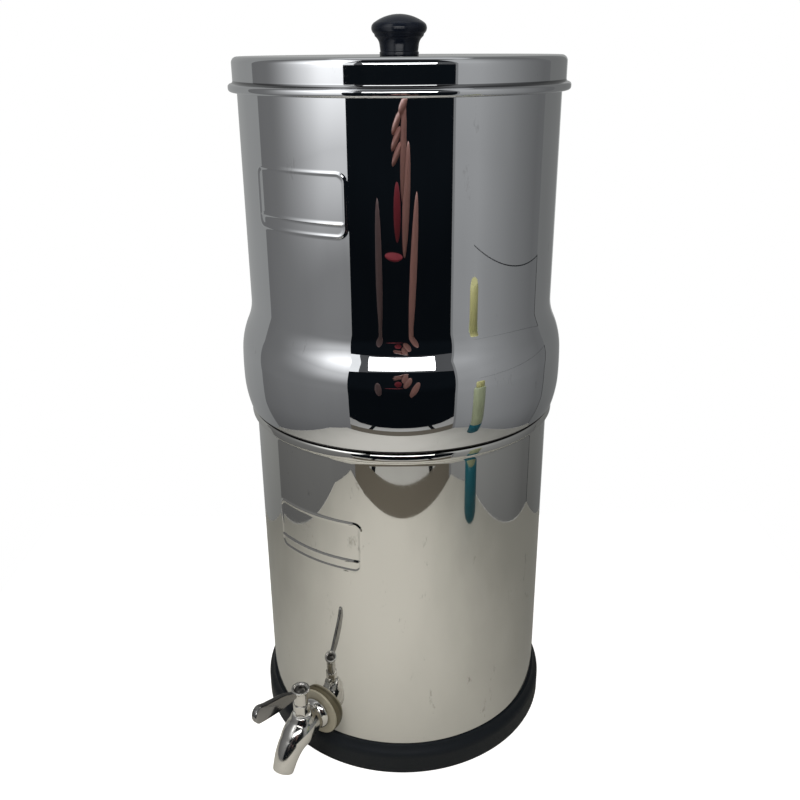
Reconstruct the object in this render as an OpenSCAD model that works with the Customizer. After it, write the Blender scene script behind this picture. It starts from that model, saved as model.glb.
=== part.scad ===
// Gravity water filter: two stacked steel chambers, a lid and a lever tap.
// Origin on the resting plane below the middle of the base ring. The tap points along -Y.

/* [Chambers] */
// Outer radius of the lower chamber
lower_r = 108; // [95:0.5:125]
// How much less the upper chamber's radius is than the lower chamber's
upper_step = 1.3; // [0.5:0.1:3]
// Thickness of the sheet steel
sheet = 0.8; // [0.6:0.1:1.2]
// Height of the lower chamber's mouth above the ground
lower_top = 262; // [230:1:300]
// Height of the upper chamber, from the lower mouth to its own
upper_h = 235.4; // [190:0.2:280]
// Radius of the bend between wall and floor
floor_bend = 3; // [2:0.25:4]

/* [Rolled beads] */
// Width of the lower chamber's bead across the wall
bead_w = 4.2; // [3.8:0.1:6]
// Height of the lower chamber's bead
bead_h = 7.2; // [6:0.1:10]
// Width of the hem round the upper chamber's mouth
hem_w = 1.8; // [1.7:0.05:2.2]
// Height of the hem round the upper chamber's mouth
hem_h = 3.4; // [2.6:0.1:6]

/* [Bulged foot] */
// How far the bulge stands out from the upper wall
bulge_out = 8.8; // [5:0.1:12]
// Height of the widest line of the bulge above the lower mouth
bulge_mid = 38.2; // [34:0.2:45]
// Radius of the bulge's upper shoulder
shoulder_r = 55; // [45:1:70]
// Radius of the hollow between shoulder and wall
hollow_r = 39; // [25:1:50]
// Radius of the bulge's lower flank
flank_r = 293; // [200:1:350]
// Radius of the bulge's lower edge
edge_r = 5.8; // [4:0.2:7]
// Depth of the foot inside the lower chamber
foot_depth = 12; // [9:0.5:20]
// Clearance between the foot and the lower chamber's wall
foot_gap = 0.9; // [0.6:0.1:2]
// Clearance between the bulge and the bead that carries it
seat_gap = 0.1; // [0.05:0.05:0.3]

/* [Lid] */
// Clearance between the hem and the lid's skirt
lid_gap = 0.6; // [0.4:0.1:1.5]
// Depth of the skirt, from the lid's top to the bead's lower edge
skirt_h = 21.2; // [16:0.2:30]
// Radius of the lid's upper edge
lid_edge = 3.2; // [2.8:0.2:6]
// Width of the lid's bead
lid_bead_w = 4; // [3:0.1:5]
// Height of the lid's bead
lid_bead_h = 7; // [5.5:0.1:9]

/* [Knob] */
// Largest radius of the knob
knob_r = 18.15; // [15:0.05:22]
// Radius of the knob's neck
knob_neck_r = 12.9; // [10:0.1:14]
// Height of the knob above the lid
knob_h = 25; // [22:0.5:32]
// Radius of the knob's screw
knob_screw_r = 2.5; // [2:0.1:3.5]

/* [Base ring] */
// Height of the base ring
ring_h = 22.5; // [16:0.5:24]
// Thickness of the base ring at its foot
ring_t = 5.6; // [4:0.1:8]
// Thickness of the base ring's upper lip
ring_lip = 1.4; // [1:0.1:2.5]
// Thickness of the ledge under the chamber
ledge_t = 3; // [2:0.5:6]
// Width of the ledge under the chamber
ledge_w = 12; // [9:0.5:20]

/* [Tap] */
// Height of the tap's axis above the ground
tap_z = 38.3; // [36:0.1:60]
// Radius of the threaded shank
shank_r = 8; // [7:0.1:8.5]
// Length of the shank inside the chamber's wall
shank_in = 15; // [12:0.5:22]
// Radius of the gaskets and of the outer washer
washer_r = 18.2; // [13:0.1:19]
// Thickness of the outer gasket at its middle
gasket_t = 2.4; // [2:0.1:4]
// Thickness of the outer washer
washer_t = 1.8; // [1:0.1:3]
// Radius of the tap's flange
flange_r = 12.2; // [11:0.1:13]
// Outer radius of the spout
spout_r = 9.9; // [8.5:0.1:11]
// Radius of the water way
way_r = 5; // [4:0.1:5.5]
// Distance from the chamber's wall to the lever's axis
stem_out = 20.5; // [20:0.5:28]
// Radius of the spout's bend
bend_r = 30; // [26:1:40]
// Angle through which the spout turns down
bend_turn = 65; // [50:1:85]
// Length of the straight end of the spout
spout_end = 7.5; // [6:0.5:20]
// Width of the bonnet across its flats
bonnet_af = 10.6; // [10.4:0.2:16]
// Height of the bonnet
bonnet_h = 9; // [7:0.5:12]

/* [Lever] */
// Radius of the lever's hub
hub_r = 4.7; // [4.4:0.1:6]
// Height of the lever's hub
hub_h = 12.8; // [12:0.2:18]
// Radius of the hub's round head
head_r = 6.3; // [5.8:0.1:8.5]
// Length of the lever from its axis to its tip
lever_len = 48.5; // [38:0.5:60]
// Thickness of the blade
blade_t = 3.8; // [2.4:0.1:5]
// Width of the blade near its tip
blade_w = 11.6; // [9:0.1:15]
// Rise of the blade's tip above its root
blade_rise = 10; // [0:0.5:14]
// Radius of the valve plug
plug_r = 5.2; // [5:0.2:6.4]

/* [Filter elements] */
// Radius of a filter element
element_r = 35; // [25:0.5:36]
// Distance from an element's top up to the upper chamber's mouth
element_gap = 20.5; // [16:0.5:60]
// Distance of the floor holes from the chamber's middle
hole_pitch = 48; // [44:0.5:56]
// Radius of an element's threaded stem
stem_r = 5; // [4:0.1:6]

/* [Hidden] */
$fn = 96;
fit = 0.05;           // radial clearance of a running fit
touch = 0.02;         // clearance between pieces that are clamped together
bolt_gap = 0.4;       // clearance of a bolt, stem or shank in its hole
past = 1;             // how far a cutter runs past the face it cuts
curl_t = sheet * 1.15; // the sheet thickens where it is curled

// lower vessel and base
floor_z = ledge_t;
lower_in_r = lower_r - sheet;
lower_flat_r = lower_r - floor_bend;
ring_r = lower_r + ring_t;
ring_toe = 1.5;
ring_crown = ring_h / 3;
ring_crown_z = ring_h * 0.6;
lip_edge = 0.7;
bead_r = bead_w / 2;
bead_mid_r = lower_in_r + bead_r;
tap_span = tap_z + 2 * washer_r; // height of the cutters that follow the wall behind the tap

// upper vessel
upper_r = lower_r - upper_step;
foot_r = lower_in_r - foot_gap;
foot_flat_r = foot_r - floor_bend;
foot_z = lower_top - foot_depth;
foot_floor = foot_z + sheet;
seat_z = lower_top + seat_gap;
foot_fillet = 1.5;
bulge_r = upper_r + bulge_out;
bulge_z = lower_top + bulge_mid;
upper_top = lower_top + upper_h;
hem_r = hem_w / 2;
flank_a = asin((bulge_z - edge_r - seat_z) / (flank_r - edge_r));
edge_mid_r = bulge_r - flank_r + (flank_r - edge_r) * cos(flank_a);
shoulder_a = acos((upper_r + hollow_r - bulge_r + shoulder_r) / (shoulder_r + hollow_r));
hollow_z = bulge_z + (shoulder_r + hollow_r) * sin(shoulder_a);

// lid and knob
skirt_in_r = upper_r - sheet + hem_w + lid_gap;
skirt_r = skirt_in_r + sheet;
corner_in = lid_edge - sheet;
corner_dx = max(0, corner_in - hem_r - lid_gap);
lid_under = upper_top - hem_r + corner_in - sqrt(pow(corner_in - hem_r - seat_gap, 2) - pow(corner_dx, 2));
lid_top = lid_under + sheet;
lid_bead_r = lid_bead_w / 2;
knob_z = lid_top + touch;
knob_rim_r = 4.15;    // radius of the rim's round edge
knob_rim_z = knob_z + knob_h * 0.66;
knob_neck_z = knob_z + knob_h * 0.23;
knob_hollow = 7;      // radius of the hollow under the rim
collar_h = 2;         // height of the collar at the knob's foot
collar_edge = 0.5;
collar_groove = 0.3;
knob_screw_in = 12;   // how far the screw reaches into the knob
knob_washer_r = 9;
knob_washer_t = 1.2;
knob_screw_head = 2.6;
knob_screw_hole = knob_screw_r + bolt_gap;

// tap, with x measured outwards from the chamber's wall and z from the tap's axis
washer_x = gasket_t + touch;
flange_x = washer_x + washer_t + touch;
flange_t = 3;
neck_run = 6;         // level length between the flange and the bend
bend_x = flange_x + flange_t + neck_run;
neck_step = 0.4;
neck_lap = 1.2;
inner_t = 3;
inner_x = -sheet - inner_t;
nut_t = 5;
nut_x = inner_x - touch - nut_t;
nut_r = shank_r * 1.7;
shank_hole_r = shank_r + bolt_gap;
sleeve_r = plug_r + 1;
seat_wall = 1;        // metal round the sleeve where it rises above the spout
seat_rise = 1.9;      // height of the sleeve's seat above the spout
plug_top = spout_r + seat_rise;
plug_low = 2.6 - spout_r;
sleeve_floor = 0.8;
bonnet_top = plug_top + bonnet_h;
ring_wire = 0.8;
rod_r = 2.5;
hub_z = bonnet_top + 0.15;
hub_top = hub_z + hub_h;
head_t = 4.6;         // height of the head's flare and rim
rim_h = 1;            // height of the head's rim
rim_w = 1.4;          // width of the head's rim
rim_edge = 0.3;
dish_t = 0.9;         // depth of the dish in the head
rod_gap = 2.4;        // metal left over the stem's end in the hub
screw_r = 1.25;
screw_head_r = 2.8;
screw_head_t = 1.4;
socket_r = 1.3;
socket_t = 1;
blade_tip_r = blade_w / 2;
blade_edge = 0.9;     // chamfer round the blade
root_h = 6.8;         // height of the blade where it meets the hub
root_drop = 0.3;      // depth of the blade's root below the dish
root_z = hub_top - dish_t - root_drop - root_h / 2;
neck_share = 0.42;    // place of the blade's broadening, as a share of its length
neck_rise = 0.53;     // rise of the blade there, as a share of the whole rise
neck_r = blade_tip_r * 0.97;

// filter elements
cap_r = element_r + 1;
cap_h = 12;
seal_t = 2;
seal_w = 9;
floor_hole_r = stem_r + bolt_gap;
stem_len = 24;
stem_bore = stem_r - 2;
cap_z = foot_floor + seal_t + 2 * touch;
element_z = cap_z + cap_h + touch;
element_h = upper_top - element_gap - element_z;
element_edge = 6;
core_r = 12;
core_top = 12;
wing_t = 7;
wing_span = 15;
wing_blade = 3;
wing_drop = 5;
wing_hub = 4;
spare_r = 11;
spare_t = 4;
spare_tail = 12;
spare_nut_t = 4;
spare_nut_r = stem_r + 5;

// Points of an arc about [x, z] from angle a0 to a1.
function arc(x, z, r, a0, a1, n = 10) =
    [for (i = [0:n]) [x + r * cos(a0 + (a1 - a0) * i / n), z + r * sin(a0 + (a1 - a0) * i / n)]];

function flip(list) = [for (i = [len(list) - 1:-1:0]) list[i]];

// Upright slot shape: a rolled bead's section, centred on radius r, from z down by h.
module bead_section(r, z, w, h) {
    translate([r, z - w / 2]) circle(d = w, $fn = 48);
    translate([r, z - h + w / 2]) circle(d = w, $fn = 48);
    translate([r - w / 2, z - h + w / 2]) square([w, h - w]);
}

// Section of a sheet between its outer and inner faces, curled into a hollow bead at its edge.
module curled_sheet(outer, inner, r, z, w, h) {
    difference() {
        union() {
            polygon(concat(outer, flip(inner)));
            bead_section(r, z, w, h);
        }
        bead_section(r, z - curl_t, w - 2 * curl_t, h - 2 * curl_t);
    }
}

// Face of the lower chamber, moved inwards by o.
function lower_face(o) = [
    [lower_r - o, floor_z + floor_bend + touch],
    [lower_r - o, lower_top - bead_r]];

// Face of the lower chamber's floor and its turned-up rim, moved inwards by o.
function floor_face(o) = concat(
    [[0, floor_z + o]],
    arc(lower_flat_r, floor_z + floor_bend, floor_bend - o, -90, 0));

// Face of the upper chamber, moved inwards by o.
function upper_face(o) = concat(
    arc(foot_flat_r, foot_z + floor_bend, floor_bend - o, -90, 0),
    arc(foot_r + foot_fillet, seat_z - foot_fillet, foot_fillet + o, 180, 90, 6),
    arc(edge_mid_r, seat_z + edge_r, edge_r - o, -90, -flank_a, 10),
    arc(bulge_r - flank_r, bulge_z, flank_r - o, -flank_a, 0, 5),
    arc(bulge_r - shoulder_r, bulge_z, shoulder_r - o, 0, shoulder_a, 12),
    arc(upper_r + hollow_r, hollow_z, hollow_r + o, 180 + shoulder_a, 180, 8),
    [[upper_r - o, upper_top - hem_r]]);

// Face of the lid, moved inwards by o.
function lid_face(o) = concat(
    [[0, lid_top - o]],
    arc(skirt_r - lid_edge, lid_top - lid_edge, lid_edge - o, 90, 0),
    [[skirt_r - o, lid_top - skirt_h + lid_bead_h - lid_bead_w]]);

// Band round the chamber's foot, hollowed at its top where the tap's washers reach down to it.
module base_ring() {
    color("#1d2226")
        difference() {
            rotate_extrude($fn = 180)
                polygon(concat(
                    [[lower_r + fit, 0]],
                    arc(ring_r - ring_toe, ring_toe, ring_toe, -90, 0, 4),
                    arc(ring_r - ring_crown, ring_crown_z, ring_crown, 0, 45, 6),
                    [[lower_r + ring_lip, ring_h - lip_edge],
                     [lower_r + ring_lip - lip_edge, ring_h],
                     [lower_r + fit, ring_h]]));
            at_tap() bar(washer_r + 2 * fit, -shank_in, shank_in);
        }
}

// Flat ring under the chamber, inside the base ring.
module base_pad() {
    color("#1d2226")
        difference() {
            cylinder(r = lower_r + fit - touch, h = ledge_t - touch, $fn = 180);
            translate([0, 0, -past]) cylinder(r = lower_r - ledge_w, h = ledge_t + 2 * past, $fn = 180);
        }
}

module lower_chamber() {
    color("#b9b9b6")
        difference() {
            rotate_extrude($fn = 180)
                curled_sheet(lower_face(0), lower_face(sheet), bead_mid_r, lower_top, bead_w, bead_h);
            at_tap() bar(shank_hole_r, -shank_in, shank_in);
        }
}

module lower_floor() {
    color("#b9b9b6")
        rotate_extrude($fn = 180) polygon(concat(floor_face(0), flip(floor_face(sheet))));
}

// Moves into the tap's own frame: x outwards from the wall, z up from its axis.
module at_tap() {
    translate([0, -lower_r, tap_z]) rotate([0, 0, -90]) children();
}

// Moves on to the lever's axis within the tap's frame.
module at_stem() {
    at_tap() translate([stem_out, 0, 0]) children();
}

// Round bar along x, from x0 to x1.
module bar(r, x0, x1) {
    translate([x0, 0, 0]) rotate([0, 90, 0]) cylinder(r = r, h = x1 - x0);
}

// Bar along the spout: level up to the bend and a little thicker there, bent down, then straight.
module spout_bar(r, x0, extra = 0) {
    bar(r + neck_step, x0, bend_x + neck_lap);
    translate([bend_x, 0, -bend_r]) {
        rotate([90, 0, 0])
            rotate([0, 0, 90 - bend_turn])
                rotate_extrude(angle = bend_turn) translate([bend_r, 0]) circle(r = r);
        rotate([0, bend_turn, 0])
            translate([0, 0, bend_r]) bar(r, 0, spout_end + extra);
    }
}

module tap_body() {
    color("#b5b5b5")
        at_tap() difference() {
            union() {
                bar(shank_r, -shank_in, flange_x + 1);
                bar(flange_r, flange_x, flange_x + flange_t);
                spout_bar(spout_r, flange_x + 1);
                translate([stem_out, 0, 0]) cylinder(r = sleeve_r + seat_wall, h = plug_top);
            }
            spout_bar(way_r, -shank_in - past, past);
            translate([stem_out, 0, plug_low - touch]) cylinder(r = sleeve_r, h = 3 * plug_top);
        }
}

module tap_outer_gasket() {
    color("#6f6a4e")
        difference() {
            at_tap() bar(washer_r, -shank_in, gasket_t);
            at_tap() bar(shank_r + touch, -shank_in - past, gasket_t + past);
            cylinder(r = lower_r + touch, h = tap_span, $fn = 180);
        }
}

module tap_washer() {
    color("#d8d6cb")
        at_tap() difference() {
            bar(washer_r, washer_x, washer_x + washer_t);
            bar(shank_r + touch, washer_x - past, washer_x + washer_t + past);
        }
}

module tap_inner_gasket() {
    color("#e3e1d8")
        difference() {
            intersection() {
                at_tap() bar(washer_r, inner_x, 0);
                cylinder(r = lower_in_r - touch, h = tap_span, $fn = 180);
            }
            at_tap() bar(shank_r + touch, inner_x - past, past);
        }
}

module tap_lock_nut() {
    color("#b9b9b6")
        at_tap() difference() {
            translate([nut_x, 0, 0]) rotate([0, 90, 0]) cylinder(r = nut_r, h = nut_t, $fn = 6);
            bar(shank_r + touch, nut_x - past, nut_x + nut_t + past);
        }
}

module valve_sleeve() {
    color("white")
        at_stem() difference() {
            translate([0, 0, plug_low]) cylinder(r = sleeve_r - touch, h = plug_top - plug_low - touch);
            translate([0, 0, plug_low + sleeve_floor]) cylinder(r = plug_r + fit, h = 2 * plug_top);
            bar(way_r - 0.6, -2 * sleeve_r, 2 * sleeve_r);
        }
}

module valve_plug() {
    color("#9c9c9c")
        at_stem() difference() {
            union() {
                translate([0, 0, plug_low + sleeve_floor + fit])
                    cylinder(r = plug_r, h = plug_top - plug_low - sleeve_floor - 4 * fit);
                cylinder(r = rod_r, h = hub_top - head_t - rod_gap);
            }
            rotate([0, 0, 90]) bar(way_r - 0.8, -2 * plug_r, 2 * plug_r);
            translate([0, 0, hub_top - head_t - rod_gap - 3 * rod_r]) cylinder(r = screw_r + touch, h = hub_h);
        }
}

module stem_o_ring() {
    color("#161616")
        at_stem() translate([0, 0, plug_top + ring_wire + touch])
            rotate_extrude($fn = 60) translate([rod_r + fit + ring_wire, 0]) circle(r = ring_wire, $fn = 32);
}

module tap_bonnet() {
    pocket = rod_r + 2 * (fit + ring_wire);
    color("#b5b5b5")
        at_stem() difference() {
            translate([0, 0, plug_top + touch])
                cylinder(d = bonnet_af / cos(30), h = bonnet_h - touch, $fn = 6);
            cylinder(r = rod_r + fit, h = 2 * bonnet_top);
            cylinder(r = pocket, h = plug_top + 2 * ring_wire + 3 * touch);
        }
}

module tap_lever() {
    color("#b5b5b5")
        at_stem() difference() {
            union() {
                translate([0, 0, hub_z]) cylinder(r = hub_r, h = hub_h - head_t);
                translate([0, 0, hub_top]) rotate_extrude() head_section();
                blade_part([hub_r, root_z], root_h / 2, [neck_x(), neck_z()], neck_r);
                blade_part([neck_x(), neck_z()], neck_r, [tip_x(), root_z + blade_rise], blade_tip_r);
            }
            translate([0, 0, hub_z - past]) cylinder(r = rod_r + touch, h = hub_h - head_t - rod_gap + past + fit);
            translate([0, 0, hub_z]) cylinder(r = screw_r + touch, h = hub_h);
        }
}

function tip_x() = lever_len - blade_tip_r;
function neck_x() = hub_r + (tip_x() - hub_r) * neck_share;
function neck_z() = root_z + blade_rise * neck_rise;

// Section of the hub's head, which flares to a raised rim round a shallow dish. Its top is at 0.
module head_section() {
    polygon([[0, -head_t], [hub_r, -head_t], [head_r, -rim_h], [head_r, -rim_edge],
             [head_r - rim_edge, 0], [head_r - rim_w + rim_edge, 0],
             [head_r - rim_w, -dish_t], [0, -dish_t]]);
}

// Part of the blade, with chamfered edges, between two round ends.
module blade_part(a, ra, b, rb) {
    hull() {
        blade_end(a, ra);
        blade_end(b, rb);
    }
}

module blade_end(at, r) {
    translate([at[0], 0, at[1]]) rotate([90, 0, 0]) {
        cylinder(r = r, h = blade_t - 2 * blade_edge, center = true, $fn = 48);
        cylinder(r = r - blade_edge, h = blade_t, center = true, $fn = 48);
    }
}

module lever_screw() {
    head_z = hub_top - dish_t + touch;
    screw_z = hub_top - head_t - rod_gap - 2 * rod_r;
    color("#3a3a3c")
        at_stem() difference() {
            union() {
                translate([0, 0, screw_z]) cylinder(r = screw_r, h = head_z - screw_z + fit);
                translate([0, 0, head_z]) cylinder(r = screw_head_r, h = screw_head_t);
            }
            translate([0, 0, head_z + screw_head_t - socket_t]) cylinder(r = socket_r, h = 2 * socket_t, $fn = 6);
        }
}

module upper_chamber() {
    color("#a9abad")
        rotate_extrude($fn = 180) {
            polygon(concat(upper_face(0), flip(upper_face(sheet))));
            bead_section(upper_r - sheet + hem_r, upper_top, hem_w, hem_h);
        }
}

module upper_floor() {
    color("#a9abad")
        difference() {
            translate([0, 0, foot_z]) cylinder(r = foot_flat_r - touch, h = sheet, $fn = 180);
            at_holes([0:3]) translate([0, 0, foot_z - past]) cylinder(r = floor_hole_r, h = sheet + 2 * past);
        }
}

// The floor has four holes: even ones carry elements, odd ones are plugged.
module at_holes(which) {
    for (i = which) rotate([0, 0, 90 * i]) translate([hole_pitch, 0, 0]) children();
}

module filter_body(i) {
    top = element_h - element_edge;
    color("#17181a")
        at_holes([i]) translate([0, 0, element_z]) difference() {
            union() {
                cylinder(r = element_r, h = top);
                translate([0, 0, top]) rotate_extrude()
                    polygon(concat([[0, 0]], arc(element_r - element_edge, 0, element_edge, 0, 90, 6),
                                   [[0, element_edge]]));
            }
            translate([0, 0, -past]) cylinder(r = core_r, h = element_h - core_top + past);
        }
}

module filter_cap(i) {
    color("#24272b")
        at_holes([i]) difference() {
            union() {
                translate([0, 0, cap_z]) cylinder(r = cap_r, h = cap_h);
                translate([0, 0, foot_floor - stem_len]) cylinder(r = stem_r, h = stem_len + seal_t + past);
            }
            translate([0, 0, foot_floor - stem_len - past])
                cylinder(r = stem_bore, h = stem_len + seal_t + cap_h + 3 * past);
        }
}

// Flat washer of radius r and thickness t round a stem, its lower face at z.
module stem_washer(r, t, z) {
    translate([0, 0, z]) difference() {
        cylinder(r = r, h = t);
        translate([0, 0, -past]) cylinder(r = stem_r + touch, h = t + 2 * past);
    }
}

module filter_washers() {
    color("#2a2a2a")
        at_holes([0, 2]) stem_washer(stem_r + seal_w, seal_t, foot_floor + touch);
}

module wing_nut(i) {
    color("#e6e6e2")
        at_holes([i]) translate([0, 0, foot_z - touch - wing_t]) difference() {
            union() {
                cylinder(r = stem_r + wing_hub, h = wing_t);
                translate([-wing_span, -wing_blade / 2, -wing_drop])
                    cube([2 * wing_span, wing_blade, wing_t + wing_drop / 2]);
            }
            translate([0, 0, -wing_drop - past]) cylinder(r = stem_r + touch, h = wing_t + wing_drop + 2 * past);
        }
}

module hole_plugs() {
    color("#202225")
        at_holes([1, 3]) {
            translate([0, 0, foot_floor + seal_t + 2 * touch]) cylinder(r = spare_r, h = spare_t);
            translate([0, 0, foot_z - spare_tail]) cylinder(r = stem_r, h = spare_tail + sheet + seal_t + past);
        }
}

module plug_washers() {
    color("#2a2a2a")
        at_holes([1, 3]) stem_washer(spare_r, seal_t, foot_floor + touch);
}

module plug_nuts() {
    color("#202225")
        at_holes([1, 3]) translate([0, 0, foot_z - touch - spare_nut_t]) difference() {
            cylinder(r = spare_nut_r, h = spare_nut_t, $fn = 6);
            translate([0, 0, -past]) cylinder(r = stem_r + touch, h = spare_nut_t + 2 * past);
        }
}

module lid() {
    color("#b0b2b4")
        difference() {
            rotate_extrude($fn = 180)
                curled_sheet(lid_face(sheet), lid_face(0), skirt_in_r + lid_bead_r,
                             lid_top - skirt_h + lid_bead_h, lid_bead_w, lid_bead_h);
            translate([0, 0, lid_under - past]) cylinder(r = knob_screw_hole, h = sheet + 2 * past);
        }
}

// Mushroom knob: a collar, a hollow neck, a round rim and a domed top.
module knob() {
    dome_x = knob_r - knob_rim_r + knob_rim_r * cos(60);
    dome_z = knob_rim_z + knob_rim_r * sin(60);
    dome_h = knob_z + knob_h - dome_z;
    dome_r = (dome_x * dome_x + dome_h * dome_h) / (2 * dome_h);
    dome_a = asin(dome_x / dome_r);
    color("#15171c")
        difference() {
            rotate_extrude()
                polygon(concat(
                    [[0, knob_z], [knob_neck_r - collar_edge, knob_z], [knob_neck_r, knob_z + collar_edge],
                     [knob_neck_r, knob_z + collar_h],
                     [knob_neck_r - collar_edge, knob_z + collar_h + collar_groove],
                     [knob_neck_r, knob_z + collar_h + 2 * collar_groove]],
                    arc(knob_neck_r + knob_hollow, knob_neck_z, knob_hollow, 180, 125),
                    arc(knob_r - knob_rim_r, knob_rim_z, knob_rim_r, -55, 60),
                    arc(0, knob_z + knob_h - dome_r, dome_r, 90 - dome_a, 90, 8)));
            translate([0, 0, knob_z - past]) cylinder(r = knob_screw_r + touch, h = knob_screw_in + 2 * past);
        }
}

module knob_washer() {
    color("#b0b2b4")
        translate([0, 0, lid_under - touch - knob_washer_t]) difference() {
            cylinder(r = knob_washer_r, h = knob_washer_t);
            translate([0, 0, -past]) cylinder(r = knob_screw_hole, h = knob_washer_t + 2 * past);
        }
}

module knob_screw() {
    head_z = lid_under - 2 * touch - knob_washer_t - knob_screw_head;
    color("#b0b2b4")
        translate([0, 0, head_z]) {
            cylinder(r = knob_screw_r * 2, h = knob_screw_head);
            cylinder(r = knob_screw_r, h = knob_z + knob_screw_in - head_z);
        }
}

base_ring();
base_pad();
lower_chamber();
lower_floor();
tap_outer_gasket();
tap_washer();
tap_body();
tap_inner_gasket();
tap_lock_nut();
valve_sleeve();
stem_o_ring();
tap_bonnet();
valve_plug();
tap_lever();
lever_screw();
upper_chamber();
upper_floor();
filter_body(2);  // filter_body_left
filter_body(0);  // filter_body_right
filter_cap(2);  // filter_cap_left
filter_cap(0);  // filter_cap_right
filter_washers();
wing_nut(2);  // wing_nut_left
wing_nut(0);  // wing_nut_right
hole_plugs();
plug_washers();
plug_nuts();
lid();
knob();
knob_washer();
knob_screw();
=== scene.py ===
# %% [markdown]
# # A gravity water filter with a tap
# Two polished steel chambers stand on each other. Water is poured into the upper
# one, seeps through black filter elements, and is drawn from the lower one by a
# quarter-turn tap. The solids come from a CAD model, as a frame that stays fixed.
# Here each visible piece gets its fine shape and its finish.

# %% Load the fixed frame
import math

import bpy
from mathutils import Matrix, Vector


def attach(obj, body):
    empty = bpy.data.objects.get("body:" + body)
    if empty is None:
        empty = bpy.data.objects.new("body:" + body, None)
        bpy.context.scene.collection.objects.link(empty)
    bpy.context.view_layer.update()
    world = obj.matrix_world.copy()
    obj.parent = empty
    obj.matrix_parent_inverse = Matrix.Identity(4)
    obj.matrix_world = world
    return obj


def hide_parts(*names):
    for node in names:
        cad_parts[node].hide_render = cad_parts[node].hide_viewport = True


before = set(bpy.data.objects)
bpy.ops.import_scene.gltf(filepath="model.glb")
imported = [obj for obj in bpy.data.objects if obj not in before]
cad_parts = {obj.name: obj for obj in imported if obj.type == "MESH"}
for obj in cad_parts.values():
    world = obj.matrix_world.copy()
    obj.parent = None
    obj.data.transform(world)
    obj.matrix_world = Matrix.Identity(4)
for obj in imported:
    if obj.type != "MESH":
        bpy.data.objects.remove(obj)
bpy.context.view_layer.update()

MM = 0.001

# %% [markdown]
# ## Working by hand, in code
# An operator acts on everything that is selected, so each piece starts from an
# empty selection. Most of this filter is round. Its shells could be bevelled from
# cylinders, but a section spun about an axis keeps every radius as a number.


# %% Start from an empty selection
def select_only(*pieces):
    bpy.ops.object.select_all(action="DESELECT")
    for piece in pieces:
        piece.select_set(True)
    bpy.context.view_layer.objects.active = pieces[0] if pieces else None


# %% Spin a section into a shell
def arc(r, z, radius, start, end, steps):
    """Points of an arc about (r, z), in millimetres, from start to end degrees."""
    turn = [math.radians(start + (end - start) * i / steps) for i in range(steps + 1)]
    return [(r + radius * math.cos(a), z + radius * math.sin(a)) for a in turn]


def drawn(name, chain):
    """A new piece that is a chain of edges through points in metres, left in edit mode."""
    select_only()
    bpy.ops.mesh.primitive_plane_add(size=MM)
    piece = bpy.context.object
    piece.name = name
    bpy.ops.object.mode_set(mode="EDIT")
    bpy.ops.mesh.merge(type="CENTER")
    bpy.ops.transform.translate(value=chain[0])
    for a, b in zip(chain, chain[1:]):
        step = tuple(q - p for p, q in zip(a, b))
        bpy.ops.mesh.extrude_region_move(TRANSFORM_OT_translate={"value": step})
    bpy.ops.mesh.select_all(action="SELECT")
    return piece


def close_up():
    """Joins the seams of a new shell and turns its faces outwards."""
    bpy.ops.mesh.select_all(action="SELECT")
    bpy.ops.mesh.remove_doubles(threshold=0.002 * MM)
    bpy.ops.mesh.normals_make_consistent(inside=False)
    bpy.ops.object.mode_set(mode="OBJECT")


def spun(name, section, turns, x=0.0, y=0.0, start=0.0):
    """Spins a section of (radius, height) points about the upright axis at x, y.

    start is the angle of the first seam from the front, and turns lists the
    steps and degrees of each stretch, so one side can be finer than the rest.
    """
    way = (math.sin(math.radians(start)), -math.cos(math.radians(start)))
    piece = drawn(name, [((x + r * way[0]) * MM, (y + r * way[1]) * MM, z * MM)
                         for r, z in section])
    for steps, degrees in turns:
        bpy.ops.mesh.spin(steps=steps, angle=-math.radians(degrees),
                          center=(x * MM, y * MM, 0), axis=(0, 0, 1))
    close_up()
    return piece


# %% Smooth a piece, give it a finish and a body, and hide the solids it replaces
def finished(piece, body, slot, finish, *nodes, crease=40):
    """Smooths a piece up to a crease angle, gives its finish, puts it under its body, and hides
    its CAD nodes.
    """
    select_only(piece)
    bpy.ops.object.transform_apply(location=True, rotation=True, scale=True)
    bpy.ops.object.shade_smooth_by_angle(angle=math.radians(crease))
    piece.data.materials.clear()
    piece.data.materials.append(finish)
    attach(piece, body)
    if nodes:
        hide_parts(*nodes)
    print(piece.name, "has", len(piece.data.polygons), "faces")


# %% [markdown]
# ## Colours and nodes
# Colours are written as they look on a screen, and one function turns them to the
# linear values that shaders count in. Another adds a node with its settings and
# links. A pattern's scale is worked out from its size on the piece in millimetres.


# %% Helpers for finishes
def linear(colour):
    parts = [int(colour[i:i + 2], 16) / 255 for i in (1, 3, 5)]
    return (*[c / 12.92 if c < 0.04045 else ((c + 0.055) / 1.055) ** 2.4 for c in parts], 1)


def per_metre(size):
    """How often a pattern of a size in mm comes in a metre, which is its noise scale."""
    return 1 / (size * MM)


def add(tree, kind, values=None, links=None, **settings):
    """Adds a node. A link comes from a socket, or from a node's first output."""
    node = tree.nodes.new("ShaderNode" + kind)
    for key, value in settings.items():
        setattr(node, key, value)
    for socket, value in (values or {}).items():
        node.inputs[socket].default_value = value
    for socket, source in (links or {}).items():
        tree.links.new(getattr(source, "outputs", [source])[0], node.inputs[socket])
    return node


def new_finish(name):
    """An empty material, its nodes, and the place of a point on the piece."""
    finish = bpy.data.materials.new(name)
    finish.use_nodes = True
    tree = finish.node_tree
    tree.nodes.clear()
    return finish, tree, add(tree, "TexCoord").outputs["Object"]
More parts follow.
